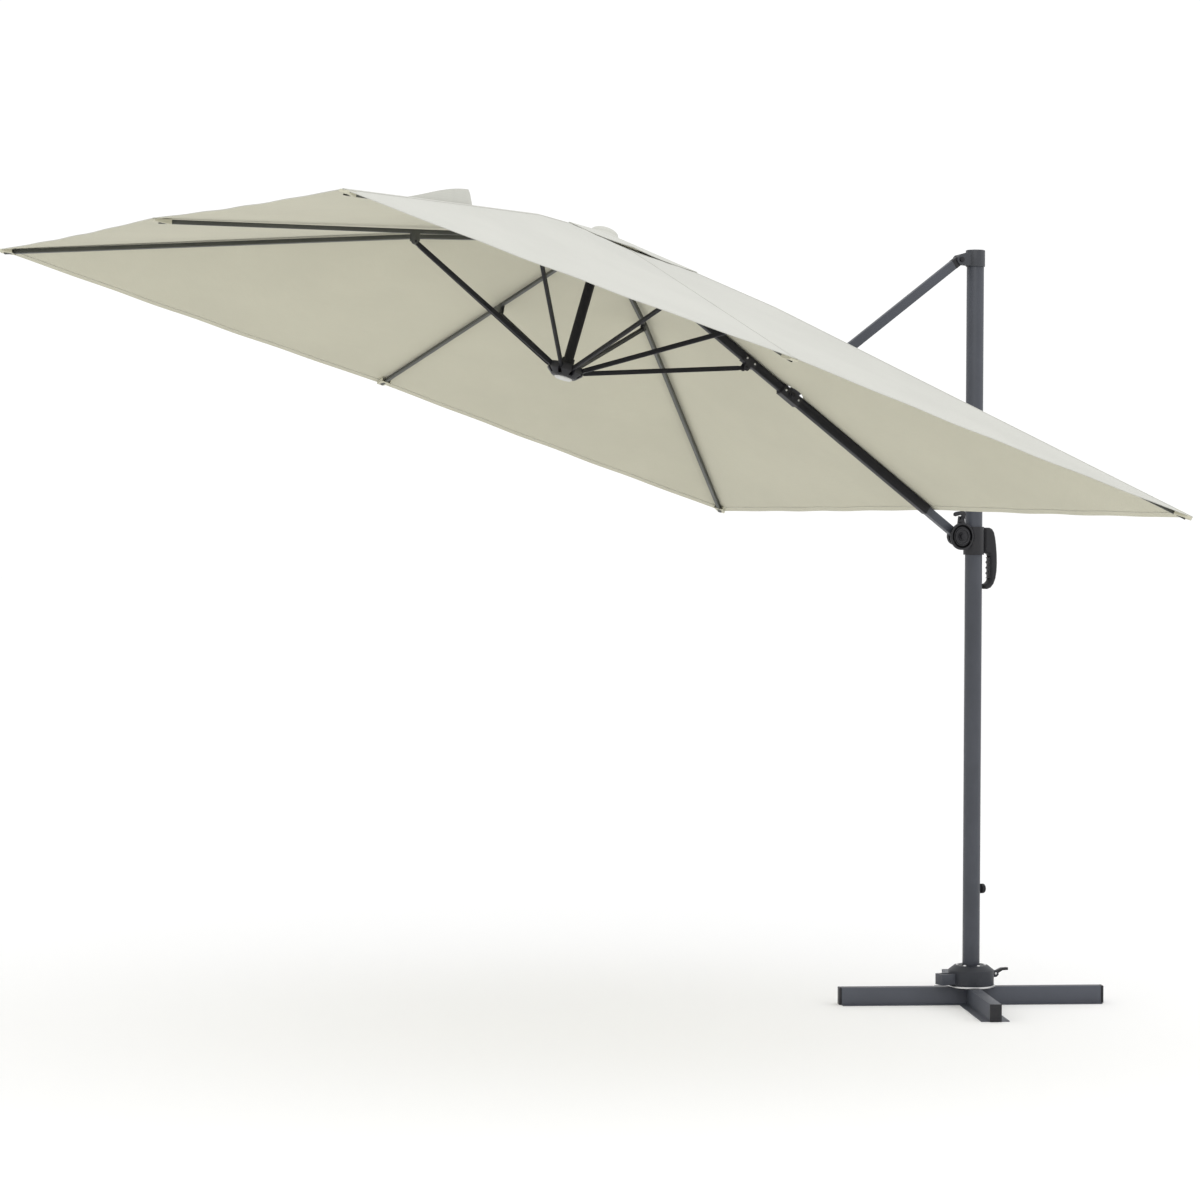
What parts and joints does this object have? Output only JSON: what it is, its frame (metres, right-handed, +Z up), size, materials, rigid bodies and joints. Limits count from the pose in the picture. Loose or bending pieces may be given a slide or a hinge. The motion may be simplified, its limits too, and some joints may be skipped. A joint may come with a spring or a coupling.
{
  "type": "cantilever parasol",
  "caption": "Cantilever parasol: square cloth canopy hung from an offset mast by a brace and sliding arm, on a cross base with a swivel.",
  "frame": {"origin": "on the mast axis at floor level, on the underside of the long leg", "axes": "+Z up along the mast, -X along the arm towards the canopy, +Y to the far side"},
  "size_m": [3.4682, 3, 2.6562],
  "materials": {
    "base_paint": "satin powder coat",
    "housing_iron": "satin powder coat",
    "mast_paint": "satin powder coat",
    "frame_aluminium": "satin powder coat",
    "canopy_cloth": "woven polyester, matt",
    "pin_steel": "zinc plated",
    "grey_plastic": "matt",
    "black_plastic": "fine textured"
  },
  "bodies": {
    "base": {"leg_long": "base_paint", "leg_near": "base_paint", "leg_far": "base_paint", "end_cap_right": "black_plastic", "end_cap_far": "black_plastic", "end_cap_left": "black_plastic", "end_cap_near": "black_plastic", "swivel_plate": "base_paint"},
    "mast": {"swivel_housing": "housing_iron", "latch_bracket": "base_paint", "mast_tube": "mast_paint", "mast_head": "frame_aluminium", "head_pin": "pin_steel"},
    "pedal": {"foot_pedal": "black_plastic"},
    "knob": {"mast_knob": "black_plastic"},
    "brace": {"brace_tube": "frame_aluminium", "brace_end_upper": "black_plastic", "brace_end_lower": "black_plastic"},
    "arm": {"arm_sleeve": "frame_aluminium", "arm_tube_lower": "frame_aluminium", "arm_tube_upper": "frame_aluminium", "arm_tip": "black_plastic", "brace_saddle": "black_plastic", "brace_pin": "pin_steel", "knuckle_bracket": "black_plastic", "cloth_arm": "canopy_cloth"},
    "slider": {"slider": "black_plastic", "slider_bolt": "pin_steel", "tilt_disc": "black_plastic", "handle_grip": "black_plastic"},
    "lever": {"lock_lever": "black_plastic"},
    "trigger": {"handle_trigger": "black_plastic"},
    "hub": {"top_hub": "black_plastic", "vent_cap": "canopy_cloth", "finial": "canopy_cloth"},
    "runner": {"runner": "black_plastic", "spacer_tube": "frame_aluminium", "runner_cap": "grey_plastic"},
    "strut_arm": {"strut_arm": "frame_aluminium"},
    "rib_mast_far": {"rib_mast_far": "frame_aluminium", "cloth_mast_far": "canopy_cloth"},
    "strut_mast_far": {"strut_mast_far": "frame_aluminium"},
    "rib_mid_far": {"rib_mid_far": "frame_aluminium", "cloth_mid_far": "canopy_cloth"},
    "strut_mid_far": {"strut_mid_far": "frame_aluminium"},
    "rib_outer_far": {"rib_outer_far": "frame_aluminium", "cloth_outer_far": "canopy_cloth"},
    "strut_outer_far": {"strut_outer_far": "frame_aluminium"},
    "rib_mid_outer": {"rib_mid_outer": "frame_aluminium", "cloth_mid_outer": "canopy_cloth"},
    "strut_mid_outer": {"strut_mid_outer": "frame_aluminium"},
    "rib_outer_near": {"rib_outer_near": "frame_aluminium", "cloth_outer_near": "canopy_cloth"},
    "strut_outer_near": {"strut_outer_near": "frame_aluminium"},
    "rib_mid_near": {"rib_mid_near": "frame_aluminium", "cloth_mid_near": "canopy_cloth"},
    "strut_mid_near": {"strut_mid_near": "frame_aluminium"},
    "rib_mast_near": {"rib_mast_near": "frame_aluminium", "cloth_mast_near": "canopy_cloth"},
    "strut_mast_near": {"strut_mast_near": "frame_aluminium"}
  },
  "joints": [
    {"name": "mast_swivel", "type": "hinge", "parent": "base", "child": "mast", "pos_m": [0, 0, 0.0664], "axis": [0, 0, 1], "continuous": true},
    {"name": "pedal_press", "type": "hinge", "parent": "mast", "child": "pedal", "pos_m": [0.094, 0, 0.1], "axis": [0, 1, 0], "range_deg": [0, 10], "stiffness_Nm_per_rad": 1.2, "springref_deg": -11.46},
    {"name": "knob_turn", "type": "hinge", "parent": "mast", "child": "knob", "pos_m": [0, 0, 0.4], "axis": [1, 0, 0], "range_deg": [-180, 180]},
    {"name": "lift", "type": "hinge", "parent": "mast", "child": "brace", "pos_m": [-0.066, 0, 2.587], "axis": [0, 1, 0], "range_deg": [-39.5, 17.5]},
    {"name": "arm_pivot", "type": "hinge", "parent": "brace", "child": "arm", "pos_m": [-0.74045, 0, 2.1084], "axis": [0, 1, 0], "range_deg": [-35, 79]},
    {"name": "slider_pivot", "type": "hinge", "parent": "arm", "child": "slider", "pos_m": [-0.066, 0, 1.62981], "axis": [0, 1, 0], "range_deg": [-39.5, 17.5]},
    {"name": "lever_turn", "type": "hinge", "parent": "slider", "child": "lever", "pos_m": [-0.063, 0, 1.69381], "axis": [0, 1, 0], "range_deg": [0, 22]},
    {"name": "trigger_squeeze", "type": "hinge", "parent": "slider", "child": "trigger", "pos_m": [0.066, 0, 1.55681], "axis": [0, -1, 0], "range_deg": [0, 2.4], "stiffness_Nm_per_rad": 6, "springref_deg": -2.86},
    {"name": "canopy_fold", "type": "hinge", "parent": "arm", "child": "hub", "pos_m": [-1.41466, 0, 2.58684], "axis": [0, -1, 0], "range_deg": [0, 60], "deforming": ["cloth_arm"]},
    {"name": "strut_arm_pivot", "type": "hinge", "parent": "arm", "child": "strut_arm", "pos_m": [-0.91531, 0, 2.19846], "axis": [0, 1, 0], "range_deg": [-120, 0]},
    {"name": "runner_pivot", "type": "hinge", "parent": "strut_arm", "child": "runner", "pos_m": [-1.54712, 0, 2.16673], "axis": [0, 1, 0], "range_deg": [0, 60]},
    {"name": "fold_mast_far", "type": "hinge", "parent": "hub", "child": "rib_mast_far", "pos_m": [-1.42723, 0.03182, 2.5908], "axis": [-0.6744, 0.7071, 0.2126], "range_deg": [0, 63.59], "deforming": ["cloth_mast_far"]},
    {"name": "strut_mast_far_pivot", "type": "hinge", "parent": "rib_mast_far", "child": "strut_mast_far", "pos_m": [-1.06356, 0.45356, 2.34174], "axis": [-0.6744, 0.7071, 0.2126], "range_deg": [-113.03, 0]},
    {"name": "fold_mid_far", "type": "hinge", "parent": "hub", "child": "rib_mid_far", "pos_m": [-1.45758, 0.045, 2.60037], "axis": [-0.9537, 0, 0.3007], "range_deg": [0, 60], "deforming": ["cloth_mid_far"]},
    {"name": "strut_mid_far_pivot", "type": "hinge", "parent": "rib_mid_far", "child": "strut_mid_far", "pos_m": [-1.52381, 0.63803, 2.39031], "axis": [-0.9537, 0, 0.3007], "range_deg": [-120, 0]},
    {"name": "fold_outer_far", "type": "hinge", "parent": "hub", "child": "rib_outer_far", "pos_m": [-1.48793, 0.03182, 2.60994], "axis": [-0.6744, -0.7071, 0.2126], "range_deg": [0, 63.59], "deforming": ["cloth_outer_far"]},
    {"name": "strut_outer_far_pivot", "type": "hinge", "parent": "rib_outer_far", "child": "strut_outer_far", "pos_m": [-1.92869, 0.45356, 2.61451], "axis": [-0.6744, -0.7071, 0.2126], "range_deg": [-113.03, 0]},
    {"name": "fold_mid_outer", "type": "hinge", "parent": "hub", "child": "rib_mid_outer", "pos_m": [-1.5005, 0, 2.6139], "axis": [0, -1, 0], "range_deg": [0, 60], "deforming": ["cloth_mid_outer"]},
    {"name": "strut_mid_outer_pivot", "type": "hinge", "parent": "rib_mid_outer", "child": "strut_mid_outer", "pos_m": [-2.13231, 0, 2.58217], "axis": [0, -1, 0], "range_deg": [-120, 0]},
    {"name": "fold_outer_near", "type": "hinge", "parent": "hub", "child": "rib_outer_near", "pos_m": [-1.48793, -0.03182, 2.60994], "axis": [0.6744, -0.7071, -0.2126], "range_deg": [0, 63.59], "deforming": ["cloth_outer_near"]},
    {"name": "strut_outer_near_pivot", "type": "hinge", "parent": "rib_outer_near", "child": "strut_outer_near", "pos_m": [-1.92869, -0.45356, 2.61451], "axis": [0.6744, -0.7071, -0.2126], "range_deg": [-113.03, 0]},
    {"name": "fold_mid_near", "type": "hinge", "parent": "hub", "child": "rib_mid_near", "pos_m": [-1.45758, -0.045, 2.60037], "axis": [0.9537, 0, -0.3007], "range_deg": [0, 60], "deforming": ["cloth_mid_near"]},
    {"name": "strut_mid_near_pivot", "type": "hinge", "parent": "rib_mid_near", "child": "strut_mid_near", "pos_m": [-1.52381, -0.63803, 2.39031], "axis": [0.9537, 0, -0.3007], "range_deg": [-120, 0]},
    {"name": "fold_mast_near", "type": "hinge", "parent": "hub", "child": "rib_mast_near", "pos_m": [-1.42723, -0.03182, 2.5908], "axis": [0.6744, 0.7071, -0.2126], "range_deg": [0, 63.59], "deforming": ["cloth_mast_near"]},
    {"name": "strut_mast_near_pivot", "type": "hinge", "parent": "rib_mast_near", "child": "strut_mast_near", "pos_m": [-1.06356, -0.45356, 2.34174], "axis": [0.6744, 0.7071, -0.2126], "range_deg": [-113.03, 0]}
  ],
  "couplings": [
    {"joint": "arm_pivot", "follows": "lift", "ratio": -2},
    {"joint": "slider_pivot", "follows": "lift", "ratio": 1},
    {"joint": "strut_arm_pivot", "follows": "canopy_fold", "ratio": -2},
    {"joint": "runner_pivot", "follows": "canopy_fold", "ratio": 1},
    {"joint": "fold_mast_far", "follows": "canopy_fold", "ratio": 1.0598},
    {"joint": "strut_mast_far_pivot", "follows": "canopy_fold", "ratio": -1.8839},
    {"joint": "fold_mid_far", "follows": "canopy_fold", "ratio": 1},
    {"joint": "strut_mid_far_pivot", "follows": "canopy_fold", "ratio": -2},
    {"joint": "fold_outer_far", "follows": "canopy_fold", "ratio": 1.0598},
    {"joint": "strut_outer_far_pivot", "follows": "canopy_fold", "ratio": -1.8839},
    {"joint": "fold_mid_outer", "follows": "canopy_fold", "ratio": 1},
    {"joint": "strut_mid_outer_pivot", "follows": "canopy_fold", "ratio": -2},
    {"joint": "fold_outer_near", "follows": "canopy_fold", "ratio": 1.0598},
    {"joint": "strut_outer_near_pivot", "follows": "canopy_fold", "ratio": -1.8839},
    {"joint": "fold_mid_near", "follows": "canopy_fold", "ratio": 1},
    {"joint": "strut_mid_near_pivot", "follows": "canopy_fold", "ratio": -2},
    {"joint": "fold_mast_near", "follows": "canopy_fold", "ratio": 1.0598},
    {"joint": "strut_mast_near_pivot", "follows": "canopy_fold", "ratio": -1.8839}
  ]
}
